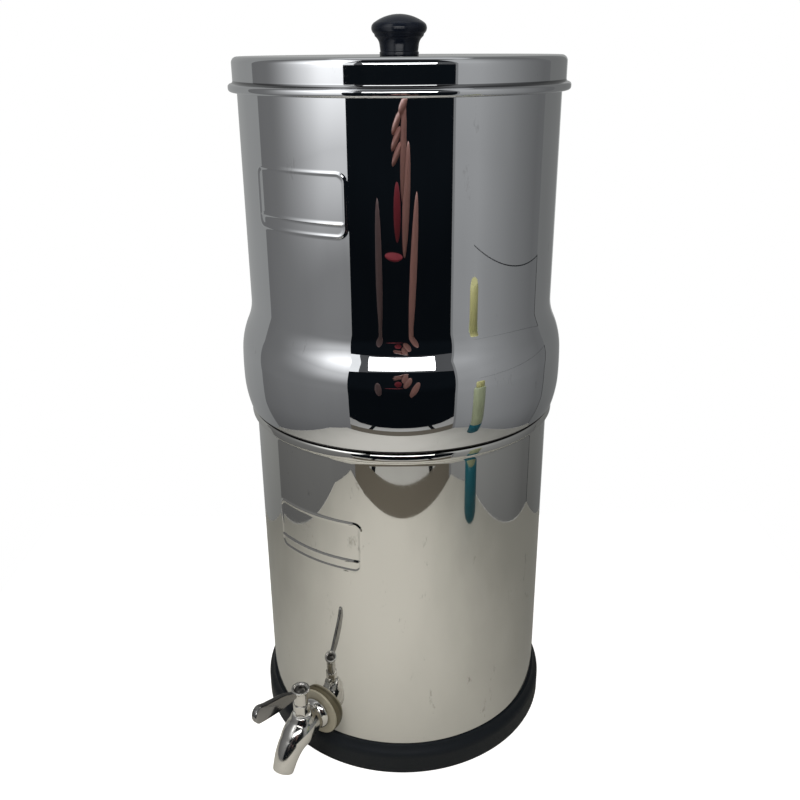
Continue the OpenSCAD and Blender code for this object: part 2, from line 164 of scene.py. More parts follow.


# %% [markdown]
# ## Polished stainless steel
# The chambers are deep-drawn stainless sheet, buffed to a mirror. One low roughness
# would look like a computer's chrome. Real sheet is never flat: it waves a few
# hundredths of a millimetre over a hand's width, and carries finger haze and dried
# spots. A dark line of painted shade lies in each crease. Each of these is its own pattern.

# %% Colour of the sheet: dried spots, and painted shade in a crease
SPOT_MM = 16.13  # size of the dried spots
SPOT_FROM, SPOT_FULL = 0.64, 0.74  # how rare they are: the noise that shows first and fully
# the colour of the dried spots, and of the painted shade in a crease
SPOT_COLOUR, CREASE_SHADE_COLOUR = "#5f5b52", "#0e0e0f"


def spots_and_crease_shade(tree, place, colour, marks, shade_z, shade_half, shade_depth):
    """The steel's colour under dried spots, and a band of painted shade about a height, in mm."""
    tall = add(tree, "Mapping", {"Scale": (1.0, 1.0, 0.4)}, {"Vector": place})
    spot = add(tree, "TexNoise", {"Scale": per_metre(SPOT_MM), "Detail": 5.0, "Roughness": 0.75},
               {"Vector": tall})
    stain = add(tree, "MapRange", {"From Min": SPOT_FROM, "From Max": SPOT_FULL, "To Max": marks},
                {"Value": spot})
    spotted = add(tree, "Mix", {"A": linear(colour), "B": linear(SPOT_COLOUR)},
                  {"Factor": stain}, data_type="RGBA")
    height = add(tree, "SeparateXYZ", links={0: place}).outputs["Z"]
    rise = add(tree, "Math", {1: shade_z * MM}, {0: height}, operation="SUBTRACT")
    off = add(tree, "Math", links={0: rise}, operation="ABSOLUTE")
    # Painted shade: the colour darkens to near black in a thin band about a crease's height.
    crease = add(tree, "MapRange",
                 {"From Min": shade_half * MM, "From Max": 0.7 * shade_half * MM, "To Max": shade_depth},
                 {"Value": off})
    crease_shaded = add(tree, "Mix", {"B": linear(CREASE_SHADE_COLOUR)},
               {"Factor": crease, "A": spotted.outputs["Result"]}, data_type="RGBA")
    return crease_shaded.outputs["Result"]


# %% Mirror-polished sheet
SMEAR_MM, GRIT_MM = 45.45, 1.111  # smears of haze, and the buffing grit inside them
CLEAR, HAZY = 0.2, 0.42  # the pattern's values for the least and most haze
WAVE_MM = 58.82  # length of the waves in the sheet


def polished_sheet(name, colour, gloss, haze, wave, marks, shade_z, shade_half, shade_depth=1.0):
    """Mirror-buffed sheet: gloss to haze is its roughness, and wave its unevenness in mm. Its
    colour carries a band of painted shade at a crease.
    """
    finish, tree, place = new_finish(name)
    smear = add(tree, "TexNoise", {"Scale": per_metre(SMEAR_MM), "Detail": 5.0, "Roughness": 0.6},
                {"Vector": place})
    grit = add(tree, "TexNoise", {"Scale": per_metre(GRIT_MM)}, {"Vector": place})
    both = add(tree, "Math", links={0: smear, 1: grit}, operation="MULTIPLY")
    rough = add(tree, "MapRange",
                {"From Min": CLEAR, "From Max": HAZY, "To Min": gloss, "To Max": haze},
                {"Value": both})
    sway = add(tree, "TexNoise", {"Scale": per_metre(WAVE_MM), "Detail": 1.0, "Roughness": 0.3},
               {"Vector": place})
    bend = add(tree, "Bump", {"Distance": wave * MM}, {"Height": sway})
    tone = spots_and_crease_shade(tree, place, colour, marks, shade_z, shade_half, shade_depth)
    skin = add(tree, "BsdfPrincipled", {"Metallic": 1.0},
               {"Base Color": tone, "Roughness": rough, "Normal": bend})
    add(tree, "OutputMaterial", links={"Surface": skin})
    return finish


# Buffed and wiped often: a clear, cool mirror, with a black line of painted shade where it meets
# the bead.
upper_steel = polished_sheet("stainless_mirror_upper", "#cdced0", 0.012, 0.035, 0.03, 0.25,
                             263.65, 1.1)
# Handled at each filling: the same steel with more finger haze, and a grey line of painted shade
# over its bead.
lid_steel = polished_sheet("stainless_mirror_lid", "#cdced0", 0.02, 0.06, 0.03, 0.25,
                           483.4, 1.0, 0.72)
# Splashed from the tap: a warmer, hazier mirror that waves more and shows its dried spots.
# Painted shade darkens it in a thin band at the top of its bead, where the upper chamber sits.
lower_steel = polished_sheet("stainless_mirror_lower", "#cecdc9", 0.02, 0.06, 0.04, 0.6,
                             262.0, 0.7)
print("steels:", upper_steel.name, lid_steel.name, lower_steel.name)

# %% [markdown]
# ## Chrome-plated brass, rubber, nylon and phenolic
# The tap is cast brass, polished and chromed, so its gloss is softer than that of
# the sheet. The other finishes are mouldings and turnings. Even values would look
# printed, so one function gives them all a grain with a real size, which varies the
# colour, the gloss and the surface together.


# %% Chrome
def chrome(name, colour, gloss, haze):
    """Plated metal that is rubbed: uneven gloss, and the faint unevenness of a casting."""
    finish, tree, place = new_finish(name)
    rub = add(tree, "TexNoise", {"Scale": per_metre(6.25), "Detail": 4.0}, {"Vector": place})
    rough = add(tree, "MapRange", {"To Min": gloss, "To Max": haze}, {"Value": rub})
    cast = add(tree, "Bump", {"Distance": 0.012 * MM}, {"Height": rub})
    skin = add(tree, "BsdfPrincipled", {"Base Color": linear(colour), "Metallic": 1.0},
               {"Roughness": rough, "Normal": cast})
    add(tree, "OutputMaterial", links={"Surface": skin})
    return finish


# Plated brass, polished by wheel: bright, with soft edges to what it mirrors.
tap_chrome = chrome("chrome_plated_brass", "#cbc9c5", 0.09, 0.19)
# The same chrome for the blade, painted darker: painted shade that dims what its face mirrors. It
# is smoother between the marks.
shaded_blade_chrome = chrome("chrome_painted_darker", "#929190", 0.05, 0.15)


# %% Plain moulded and turned finishes
def plain_finish(name, colour, roughness, grain_mm, depth_mm, metallic=0.0, spread=0.12,
                 shine=0.5):
    """A moulding or turning: spread is how far its grain varies the colour."""
    finish, tree, place = new_finish(name)
    grain = add(tree, "TexNoise", {"Scale": per_metre(grain_mm), "Detail": 3.0}, {"Vector": place})
    tone = linear(colour)
    shade = add(tree, "Mix", {"A": [c * (1 - spread) for c in tone[:3]] + [1],
                              "B": [min(1, c * (1 + spread)) for c in tone[:3]] + [1]},
                {"Factor": grain}, data_type="RGBA")
    gloss = add(tree, "MapRange", {"To Min": roughness * 0.75, "To Max": roughness * 1.25},
                {"Value": grain})
    bump = add(tree, "Bump", {"Distance": depth_mm * MM}, {"Height": grain})
    skin = add(tree, "BsdfPrincipled", {"Metallic": metallic, "Specular IOR Level": shine},
               {"Base Color": shade.outputs["Result"], "Roughness": gloss, "Normal": bump})
    add(tree, "OutputMaterial", links={"Surface": skin})
    return finish


# Moulded rubber: nearly black, with a broad dull sheen along its crown.
ring_rubber = plain_finish("moulded_black_rubber", "#0c1218", 0.55, 1.2, 0.02, shine=0.26)
# Pressed and polished phenolic: deep blue-black, with small sharp lights.
knob_phenolic = plain_finish("polished_black_phenolic", "#10141c", 0.2, 4.0, 0.004, shine=0.2)
# Turned nylon: a warm cream edge, a little waxy.
washer_nylon = plain_finish("cream_nylon", "#a59e8b", 0.38, 2.5, 0.02)
# Moulded silicone rubber: murky olive, soft at its rim.
gasket_rubber = plain_finish("olive_rubber", "#57503c", 0.5, 1.8, 0.03)
# Skived sheet: chalky white and slippery.
valve_ptfe = plain_finish("white_ptfe", "#e6e5df", 0.4, 2.0, 0.01)
# Pressed powder: black with a coarse, dry grain.
carbon_block = plain_finish("pressed_carbon", "#1c1d1f", 0.75, 0.7, 0.12, spread=0.35)
# Injection mouldings: an even satin skin over a fine tool grain.
black_plastic = plain_finish("moulded_black_polypropylene", "#26292d", 0.35, 0.9, 0.015)
white_plastic = plain_finish("moulded_white_nylon", "#e4e4df", 0.35, 1.4, 0.015)
# Turned bar: a satin grey metal, and a second that heat treatment has darkened.
turned_steel = plain_finish("turned_stainless", "#b9b8b4", 0.25, 0.8, 0.01,
                            metallic=1.0, spread=0.06)
dark_steel = plain_finish("dulled_steel", "#5d5b58", 0.3, 0.8, 0.01,
                          metallic=1.0, spread=0.1)
print(len(bpy.data.materials), "materials in the file")

# %% [markdown]
# ## The lower chamber
# A can of sheet steel, whose mouth is rolled outwards into a bead that carries the
# upper chamber. A cylinder with a Solidify modifier would have no rolled bead, so
# the section runs out along the floor, up the outside, over the bead and down the
# inside, and the spun shell is closed and has the sheet's real thickness. The front
# is stepped finer, because a frame is pressed into it.

# %% Sizes of the chambers in millimetres
SHEET = 0.8
LOWER_R = 108.0
FLOOR_Z = 3.0
LOWER_TOP = 262.0
BEND = 3.0  # radius between wall and floor
FLOOR_RING = 60  # a ring of points that keeps the floor's faces short
BEAD_W, BEAD_H = 4.2, 7.2
BEAD_FILLET = 1.6  # between wall and bead
LOWER_IN_R = LOWER_R - SHEET
FRAME_SIDE = 22.0  # half of the finely stepped front, in degrees
PANEL_W, PANEL_H = 70.0, 36.5
lower_panel = (1.7, 188.0)  # degrees from the front, height in mm
upper_panel = (-1.0, 417.5)


def rows(low, high, step):
    count = max(1, round((high - low) / step))
    return [low + (high - low) * i / count for i in range(count + 1)]


def wall_rows(low, high, middle):
    """Heights up a wall: coarse, but fine round the pressed panel."""
    bottom, top = middle - PANEL_H / 2 - 3, middle + PANEL_H / 2 + 3
    return rows(low, bottom, 9)[:-1] + rows(bottom, top, 0.7) + rows(top, high, 9)[1:]


# %% Spin the lower chamber
bead_in = BEAD_W / 2
bead_mid = LOWER_IN_R + bead_in
low_bead_z = LOWER_TOP - BEAD_H + bead_in
neck_r = LOWER_R + BEAD_FILLET
neck_z = low_bead_z - math.sqrt((bead_in + BEAD_FILLET) ** 2 - (bead_mid - neck_r) ** 2)
neck_turn = math.degrees(math.atan2(low_bead_z - neck_z, bead_mid - neck_r))
outside = [(0, FLOOR_Z), (FLOOR_RING, FLOOR_Z)]
outside += arc(LOWER_R - BEND, FLOOR_Z + BEND, BEND, -90, 0, 6)
outside += [(LOWER_R, z) for z in wall_rows(FLOOR_Z + BEND + 4, neck_z - 2, lower_panel[1])]
outside += arc(neck_r, neck_z, BEAD_FILLET, 180, neck_turn, 6)
outside += arc(bead_mid, low_bead_z, bead_in, neck_turn - 180, 0, 8)[1:]
outside += arc(bead_mid, LOWER_TOP - bead_in, bead_in, 0, 180, 14)
inside = [(LOWER_IN_R, z) for z in rows(LOWER_TOP - 12, FLOOR_Z + BEND + 3, 16)]
inside += arc(LOWER_R - BEND, FLOOR_Z + BEND, BEND - SHEET, 0, -90, 5)
inside += [(FLOOR_RING, FLOOR_Z + SHEET), (0, FLOOR_Z + SHEET)]
fine_and_rest = [(110, 2 * FRAME_SIDE), (200, 360 - 2 * FRAME_SIDE)]
lower_shell = spun("lower_chamber_shell", outside + inside, fine_and_rest, start=-FRAME_SIDE)

# %% [markdown]
# ## The pressed frames
# Each chamber has a plain frame pressed out of its front: a rounded border ridge,
# and a second ridge that marks off a strip along the bottom. Bevelled strips laid on
# the wall would show a joint, so the wall's own points are raised, by a smooth hill
# that falls with the distance from the border's line.

# %% Raise a frame out of a wall
RIDGE_HALF, RIDGE_UP = 1.35, 0.5  # half the ridge's width, and its height
CORNER = 5.0  # radius of the frame's corners
STRIP_UP = 7.6  # from the frame's lower edge to the second ridge
STRIP_SHARP = 1.15  # how much narrower the second ridge is


def hill(distance):
    if abs(distance) >= RIDGE_HALF:
        return 0.0
    return math.cos(math.pi / 2 * distance / RIDGE_HALF) ** 2


def press_frame(piece, radius, panel):
    middle, height = panel
    moved = 0
    for point in piece.data.vertices:
        x, y, z = (c / MM for c in point.co)
        r = math.hypot(x, y)
        along = math.radians(math.degrees(math.atan2(x, -y)) - middle) * radius
        across = z - height
        near = abs(along) <= PANEL_W / 2 + 3 and abs(across) <= PANEL_H / 2 + 3
        if r < radius - SHEET / 2 or not near:
            continue
        dx = abs(along) - PANEL_W / 2 + CORNER
        dz = abs(across) - PANEL_H / 2 + CORNER
        border = math.hypot(max(dx, 0), max(dz, 0)) + min(max(dx, dz), 0) - CORNER
        rise = hill(border)
        if border < 0:
            rise = max(rise, hill((across + PANEL_H / 2 - STRIP_UP) * STRIP_SHARP))
        if rise:
            grow = 1 + RIDGE_UP * rise / r
            point.co.x *= grow
            point.co.y *= grow
            moved += 1
    print(piece.name, "frame raised at", moved, "points")


press_frame(lower_shell, LOWER_R, lower_panel)
finished(lower_shell, "lower", "steel_lower", lower_steel, "lower_chamber", "lower_floor")

# %% [markdown]
# ## The upper chamber
# Its foot drops into the lower chamber's mouth, and above it the wall swells to a
# bulge that rests on the bead. A free curve could follow the bulge by eye, but a
# mirror shows every break in it, so it is one run of arcs that meet without a
# corner: a tight lower edge, a rounded underside, a long flank, a shoulder and a
# hollow that leads into the wall.

# %% Sizes of the upper chamber in millimetres
UPPER_R = 106.7
UPPER_TOP = 497.4
FOOT_R = LOWER_IN_R - 0.9
FOOT_Z = 250.0
SEAT_Z = LOWER_TOP + 0.1
FOOT_FILLET = 1.5
EDGE, UNDER, FLANK, SHOULDER, HOLLOW = 4.0, 75.0, 250.0, 55.0, 39.0
FLANK_TOP, FLANK_LOW = 3.0, -1.6  # how far the flank leans, in degrees, at its two ends
BULGE_R = UPPER_R + 8.53
BULGE_Z = LOWER_TOP + 38.2
HEM, HEM_H = 0.9, 3.4  # radius of the hem round the mouth, and its height

# %% Find the middles of the bulge's arcs
def next_middle(middle, shift, turn):
    """The middle of the next arc of a chain, shifted by the difference of the two radii."""
    way = math.radians(turn)
    return middle[0] + shift * math.cos(way), middle[1] + shift * math.sin(way)


shoulder_mid = (BULGE_R - SHOULDER, BULGE_Z)
flank_mid = next_middle(shoulder_mid, SHOULDER - FLANK, FLANK_TOP)
under_mid = next_middle(flank_mid, FLANK - UNDER, FLANK_LOW)
edge_turn = -math.degrees(math.asin((under_mid[1] - SEAT_Z - EDGE) / (UNDER - EDGE)))
edge_mid = next_middle(under_mid, UNDER - EDGE, edge_turn)
to_wall = SHOULDER + HOLLOW
shoulder_turn = math.degrees(math.acos((UPPER_R - BULGE_R + to_wall) / to_wall))
hollow_z = BULGE_Z + to_wall * math.sin(math.radians(shoulder_turn))
print("the bulge meets the wall at", round(hollow_z, 1), "mm")


def bulge_face(inwards):
    """The wall from the floor's rim to the top of the bulge, moved inwards by a thickness."""
    face = arc(FOOT_R - BEND, FOOT_Z + BEND, BEND - inwards, -90, 0, 6)
    face += arc(FOOT_R + FOOT_FILLET, SEAT_Z - FOOT_FILLET, FOOT_FILLET + inwards, 180, 90, 6)
    face += arc(*edge_mid, EDGE - inwards, -90, edge_turn, 12)
    face += arc(*under_mid, UNDER - inwards, edge_turn, FLANK_LOW, 10)[1:]
    face += arc(*flank_mid, FLANK - inwards, FLANK_LOW, FLANK_TOP, 10)[1:]
    face += arc(*shoulder_mid, SHOULDER - inwards, FLANK_TOP, shoulder_turn, 22)[1:]
    face += arc(UPPER_R + HOLLOW, hollow_z, HOLLOW + inwards, 180 + shoulder_turn, 180, 12)[1:]
    return face


# %% Spin the upper chamber and press its frame
hem_mid = UPPER_R - SHEET + HEM
outside = [(0, FOOT_Z), (FLOOR_RING, FOOT_Z)] + bulge_face(0)
outside += [(UPPER_R, z) for z in wall_rows(hollow_z + 6, UPPER_TOP - 4.5, upper_panel[1])]
outside += arc(hem_mid, UPPER_TOP - HEM_H + HEM, HEM, -50, 0, 4)
outside += arc(hem_mid, UPPER_TOP - HEM, HEM, 0, 180, 8)
inside = [(UPPER_R - SHEET, z) for z in rows(UPPER_TOP - 4, hollow_z + 4, 16)]
inside += bulge_face(SHEET)[::-1] + [(FLOOR_RING, FOOT_Z + SHEET), (0, FOOT_Z + SHEET)]
upper_shell = spun("upper_chamber_shell", outside + inside, fine_and_rest, start=-FRAME_SIDE)
press_frame(upper_shell, UPPER_R, upper_panel)
finished(upper_shell, "upper", "steel_upper", upper_steel, "upper_chamber", "upper_floor")

# %% [markdown]
# ## The lid
# A shallow pressed cap with a small corner radius. The edge of its skirt is rolled
# outwards into a bead that fingers can lift. A bevelled cylinder would miss both the
# bead and the sheet's thickness, so the lid is spun like the chambers.

# %% Sizes of the lid in millimetres
LID_TOP, SKIRT_H = 498.63, 21.2
LID_GAP = 0.6  # between the hem and the skirt
SKIRT_IN = UPPER_R - SHEET + 2 * HEM + LID_GAP
SKIRT_R = SKIRT_IN + SHEET
LID_EDGE = 3.8  # radius of the upper edge
LID_BEAD, LID_BEAD_H = 2.0, 5  # radius of the bead's rounds, and its height
LID_FILLET = 1.8  # between skirt and bead
lid_rings = [98, 55, 0]  # rings of points in its flat top

# %% Spin the lid
lid_low = LID_TOP - SKIRT_H
lid_bead_mid = SKIRT_IN + LID_BEAD
lid_bead_high = lid_low + LID_BEAD_H - LID_BEAD
fillet_r = SKIRT_R + LID_FILLET
fillet_z = lid_bead_high + math.sqrt((LID_BEAD + LID_FILLET) ** 2
                                     - (lid_bead_mid - fillet_r) ** 2)
fillet_turn = math.degrees(math.atan2(lid_bead_high - fillet_z, lid_bead_mid - fillet_r))
section = [(r, LID_TOP) for r in lid_rings[::-1]]
section += arc(SKIRT_R - LID_EDGE, LID_TOP - LID_EDGE, LID_EDGE, 90, 0, 12)
section += [(SKIRT_R, z) for z in rows(LID_TOP - LID_EDGE - 2, fillet_z + 1, 3)]
section += arc(fillet_r, fillet_z, LID_FILLET, 180, 360 + fillet_turn, 6)
section += arc(lid_bead_mid, lid_bead_high, LID_BEAD, 180 + fillet_turn, 0, 8)[1:]
section += arc(lid_bead_mid, lid_low + LID_BEAD, LID_BEAD, 0, -180, 14)
section += [(SKIRT_IN, z) for z in rows(lid_low + LID_BEAD + 2, LID_TOP - LID_EDGE - 1, 4)]
section += arc(SKIRT_R - LID_EDGE, LID_TOP - LID_EDGE, LID_EDGE - SHEET, 0, 90, 8)
section += [(r, LID_TOP - SHEET) for r in lid_rings]
lid_shell = spun("lid_shell", section, [(256, 360)])
finished(lid_shell, "lid", "steel_lid", lid_steel, "lid")

# %% [markdown]
# ## The knob
# A mushroom of hard phenolic: a low collar, a hollow neck, a round rim and a dome.
# It could be pulled from a sphere, but a spun chain of arcs keeps the collar's small
# step and the crisp turn under the rim, where such a gloss catches its lights.

# %% Sizes of the knob in millimetres
KNOB_Z = LID_TOP + 0.02
KNOB_R, NECK_R, KNOB_H = 18.15, 12.9, 25.0
RIM = 4.15
rim_z = KNOB_Z + KNOB_H * 0.66
dome_x = KNOB_R - RIM + RIM * math.cos(math.radians(60))
dome_z = rim_z + RIM * math.sin(math.radians(60))
dome_h = KNOB_Z + KNOB_H - dome_z
dome_r = (dome_x ** 2 + dome_h ** 2) / (2 * dome_h)
dome_turn = math.degrees(math.asin(dome_x / dome_r))
print("the dome's radius is", round(dome_r, 1), "mm")

# %% Spin the knob
section = [(0, KNOB_Z), (NECK_R - 0.5, KNOB_Z)]
section += arc(NECK_R - 0.5, KNOB_Z + 0.5, 0.5, -60, 0, 3)  # collar
section += arc(NECK_R - 0.4, KNOB_Z + 1.7, 0.4, 0, 70, 3) + [(NECK_R - 0.5, KNOB_Z + 2.3)]
section += arc(NECK_R + 7, KNOB_Z + KNOB_H * 0.23, 7, 176, 125, 12)  # neck
section += arc(KNOB_R - RIM, rim_z, RIM, -55, 60, 16)
section += arc(0, KNOB_Z + KNOB_H - dome_r, dome_r, 90 - dome_turn, 90, 10)[1:]
knob = spun("knob_turning", section, [(96, 360)])
finished(knob, "lid", "knob_black", knob_phenolic, "knob", crease=50)

# %% [markdown]
# ## The base ring
# A moulded rubber band that the lower chamber is pressed into. Its foot is thick
# and its upper lip is thin and lies against the wall. Where the tap's washers reach
# down to the lip it is hollowed. A Boolean cut would leave a ragged edge there, so
# the spun band's own points are lowered to just below the washers' edge.

# %% Spin the base ring
RING_H, RING_T = 22.5, 5.6
TOE, LIP = 1.5, 0.5  # rounds of its foot and of its upper lip
TAP_Z, WASHER_R = 38.3, 18.2
HOLLOW_R = WASHER_R + 0.15
ring_r, wall_r = LOWER_R + RING_T, LOWER_R + 0.05
section = [(wall_r, 0)] + arc(ring_r - TOE, TOE, TOE, -90, 0, 6)
section += arc(ring_r - RING_H / 3, RING_H * 0.6, RING_H / 3, 0, 45, 10)
section += [(LOWER_R + 1.4, RING_H - 0.7)]
section += arc(LOWER_R + 0.9, RING_H - LIP, LIP, 20, 90, 4) + [(wall_r, RING_H), (wall_r, 0)]
base_band = spun("base_band", section, [(28, 14), (231, 346)], start=-7)
for point in base_band.data.vertices:
    off = abs(point.co.x) / MM
    if point.co.y < 0 and off < HOLLOW_R:
        point.co.z = min(point.co.z, (TAP_Z - math.sqrt(HOLLOW_R ** 2 - off ** 2)) * MM)
finished(base_band, "lower", "rubber_black", ring_rubber, "base_ring")

# %% [markdown]
# ## The tap's body
# A level neck runs into a spout that bends down. A bevelled curve would give a pipe
# of one width, but this casting swells over the bend and narrows to its mouth. So a
# ring of points is extruded through the flange, turned step by step about the bend's
# centre while its size changes, and rolled back into the mouth for a lip. Then the
# pipe's back is raised to a round seat for the stem.

# %% Sizes of the tap in millimetres
SHANK_R, SHANK_IN = 8.0, 15.0
FLANGE_X, FLANGE_R = 4.24, 12.2  # the flange's back out from the wall
SPOUT_R, MOUTH_R, WAY_R = 9.9, 7.7, 5.0
BEND_X, BEND_R, BEND_TURN = 13.24, 30.0, 65.0
BEND_STEPS = 50
SWELL_FROM, SWELL = 0.75, 1.1  # the pipe's growth before the bend, and within it
SPOUT_END = 7.5
STEM_X = 20.5


def tap_ring(radius, grow, out=0.0, turn=0.0, at=(0.0, 0.0)):
    """Extrudes the spout's ring out mm along its way, which is turned down, and resizes it.

    at is where the ring's middle then lies: mm out from the wall, and up from the tap's axis.
    """
    way = math.radians(turn)
    step = (0, -out * math.cos(way) * MM, -out * math.sin(way) * MM)
    bpy.ops.mesh.extrude_region_move(TRANSFORM_OT_translate={"value": step})
    size = grow / radius
    middle = (0, -(LOWER_R + at[0]) * MM, (TAP_Z + at[1]) * MM)
    bpy.ops.transform.resize(value=(size, size, size), center_override=middle)
    return grow


# %% Draw the neck out through the flange
select_only()
bpy.ops.mesh.primitive_circle_add(vertices=96, radius=SHANK_R * MM, fill_type="NGON",
                                  rotation=(math.pi / 2, 0, 0),
                                  location=(0, -(LOWER_R - SHANK_IN) * MM, TAP_Z * MM))
spout = bpy.context.object
spout.name = "tap_spout"
bpy.ops.object.transform_apply(location=True, rotation=True, scale=True)
bpy.ops.object.mode_set(mode="EDIT")
bpy.ops.mesh.select_all(action="SELECT")
flange = [(-0.3, SHANK_R), (0.0, FLANGE_R - 0.7), (0.7, FLANGE_R), (1.6, FLANGE_R),
          (2.6, FLANGE_R - 0.35), (3.6, FLANGE_R - 0.95), (4.4, FLANGE_R - 1.7),
          (4.9, SPOUT_R + 0.15), (5.6, SPOUT_R)]
flange += [(5.6 + 0.85 * i, SPOUT_R + 0.2 * i) for i in range(1, 4)]
size, x = SHANK_R, -SHANK_IN
for new_x, new_size in [(FLANGE_X + x, r) for x, r in flange] + [(BEND_X, SPOUT_R + SWELL_FROM)]:
    size = tap_ring(size, new_size, new_x - x, at=(new_x, 0))
    x = new_x

# %% Bend the spout down
centre = (0, -(LOWER_R + BEND_X) * MM, (TAP_Z - BEND_R) * MM)
for i in range(1, BEND_STEPS + 1):
    bpy.ops.mesh.extrude_region_move()
    bpy.ops.transform.rotate(value=-math.radians(BEND_TURN / BEND_STEPS), orient_axis="X",
                             center_override=centre)
    share = i / BEND_STEPS
    way = math.radians(BEND_TURN * share)
    narrowing = (SPOUT_R + 0.15 - MOUTH_R) * share ** 1.7
    new_size = SPOUT_R + SWELL_FROM + SWELL * math.sin(math.pi * min(1, share * 1.6)) - narrowing
    middle = (0, -(LOWER_R + BEND_X + BEND_R * math.sin(way)) * MM,
              (TAP_Z - BEND_R + BEND_R * math.cos(way)) * MM)
    bpy.ops.transform.resize(value=(new_size / size,) * 3, center_override=middle)
    size = new_size

# %% Roll the mouth
mouth = [(SPOUT_END * 0.5, MOUTH_R + 0.3), (SPOUT_END - 0.9, MOUTH_R),
         (SPOUT_END - 0.25, MOUTH_R - 0.25), (SPOUT_END, MOUTH_R - 0.8),
         (SPOUT_END, WAY_R + 1.2), (SPOUT_END - 0.3, WAY_R + 0.5),
         (SPOUT_END - 1.2, WAY_R), (-6, WAY_R), (-6, 0.02)]
far = 0.0
for new_far, new_size in mouth:
    way = math.radians(BEND_TURN)
    at = (BEND_X + BEND_R * math.sin(way) + new_far * math.cos(way),
          BEND_R * (math.cos(way) - 1) - new_far * math.sin(way))
    size = tap_ring(size, new_size, new_far - far, BEND_TURN, at)
    far = new_far
close_up()
print("the spout starts at", [round(min(v.co[i] for v in spout.data.vertices) / MM, 1)
                              for i in range(3)])

# %% Raise the seat of the stem
STEM_Y = -(LOWER_R + STEM_X)
SEAT = TAP_Z + SPOUT_R + 1.9
SEAT_R, SKIRT = 6.35, 3.4  # radius of the seat, and how far it slopes into the pipe
for point in spout.data.vertices:
    off = (math.hypot(point.co.x, point.co.y - STEM_Y * MM) / MM - SEAT_R) / SKIRT
    if point.co.z > (TAP_Z - 3) * MM and off < 1:
        share = 1 - max(0, off) ** 2 * (3 - 2 * max(0, off))
        point.co.z += share * ((SEAT - 0.05) * MM - point.co.z)
finished(spout, "lower", "tap_metal", tap_chrome, "tap_body", crease=50)

# %% [markdown]
# ## The hexagon and the hub
# A hexagonal bonnet holds the valve in, and the lever's hub turns above it. The
# hexagon is a six-sided cylinder with its edges eased, because sharp ones would
# catch no light. The hub is turned on the real tap, so it is spun: its head flares
# to a rim with a shallow dish for the screw.

# %% Cut the hexagon
HEX_AF, HEX_H, HEX_EASE = 10.9, 9.0, 0.45
select_only()
bpy.ops.mesh.primitive_cylinder_add(vertices=6, radius=HEX_AF / math.sqrt(3) * MM,
                                    depth=HEX_H * MM,
                                    location=(0, STEM_Y * MM, (SEAT + HEX_H / 2) * MM))
bonnet = bpy.context.object
bonnet.name = "hexagon_bonnet"
bpy.ops.object.mode_set(mode="EDIT")
bpy.ops.mesh.select_all(action="SELECT")
bpy.ops.mesh.bevel(offset=HEX_EASE * MM, segments=3)
bpy.ops.object.mode_set(mode="OBJECT")
finished(bonnet, "lower", "tap_metal", tap_chrome, "tap_bonnet")

# %% Turn the hub
HUB_R, HUB_H, HEAD_R, HEAD_H = 5.15, 12.8, 6.8, 4.6
DISH = 0.95  # depth of the dish for the screw
hub_low = SEAT + HEX_H + 0.15
hub_top = hub_low + HUB_H
flare_z = hub_top - HEAD_H - 0.4
section = [(0, hub_low), (HUB_R - 0.5, hub_low)] + arc(HUB_R - 0.4, hub_low + 0.4, 0.4, -60, 0, 4)
section += [(HUB_R, flare_z)] + arc(HUB_R + 9, flare_z, 9, 180, 154, 6)[1:]
section += [(HEAD_R, hub_top - 1.1)] + arc(HEAD_R - 0.5, hub_top - 0.5, 0.5, 0, 90, 5)
section += arc(HEAD_R - 1.3, hub_top - 0.5, 0.5, 90, 180, 5)
section += [(HEAD_R - 2.2, hub_top - DISH), (0, hub_top - DISH)]
hub = spun("lever_hub", section, [(72, 360)], y=STEM_Y)
finished(hub, "lever", "tap_metal", tap_chrome, "tap_lever", crease=50)

# %% [markdown]
# ## The lever's blade and its screw
# The blade is a flat bar on edge that leaves the hub beside its middle and leans. A
# stretched box would have even sides, so its outline is a chain of points along the
# curved top edge, round the tip and back, filled, and pushed out to a thickness that
# grows towards the tip. Then its sharp edges, found by their angle, are rounded.

# %% Draw the blade's outline
BLADE_T, BLADE_ROUND = 3.8, 1.0
ROOT_OFF, SKEW = 3.4, 0.115  # the root's distance beside the hub's middle, and its return per mm
LEAN, LEAN_Z = 0.15, 75  # lean of the blade's face per mm of height, and where it is none
TAPER, TAPER_X = 0.03, 22  # growth of the thickness per mm of length, and where it is none
top_edge = [(2.5, 70.3), (5.5, 71.3), (9.3, 73.2), (14.4, 76.1), (18.3, 77.9), (23.1, 79.6),
            (29.2, 81.8), (35.2, 83.8)]
tip = arc(42.6, 81.0, 5.7, 108, -62, 12)
low_edge = [(40.1, 74.1), (32.4, 71.7), (23.8, 69.1), (20.5, 68.3), (16.4, 67.6), (12.3, 66.8),
            (7.0, 65.8), (2.5, 64.9)]


def blade_side(reach, height):
    """The middle of the blade's thickness, right of the hub's middle, in millimetres."""
    return SKEW * reach - ROOT_OFF - LEAN * (height - LEAN_Z)


blade = drawn("lever_blade", [((blade_side(x, z) - BLADE_T / 2) * MM, (STEM_Y - x) * MM, z * MM)
                              for x, z in top_edge + tip + low_edge])

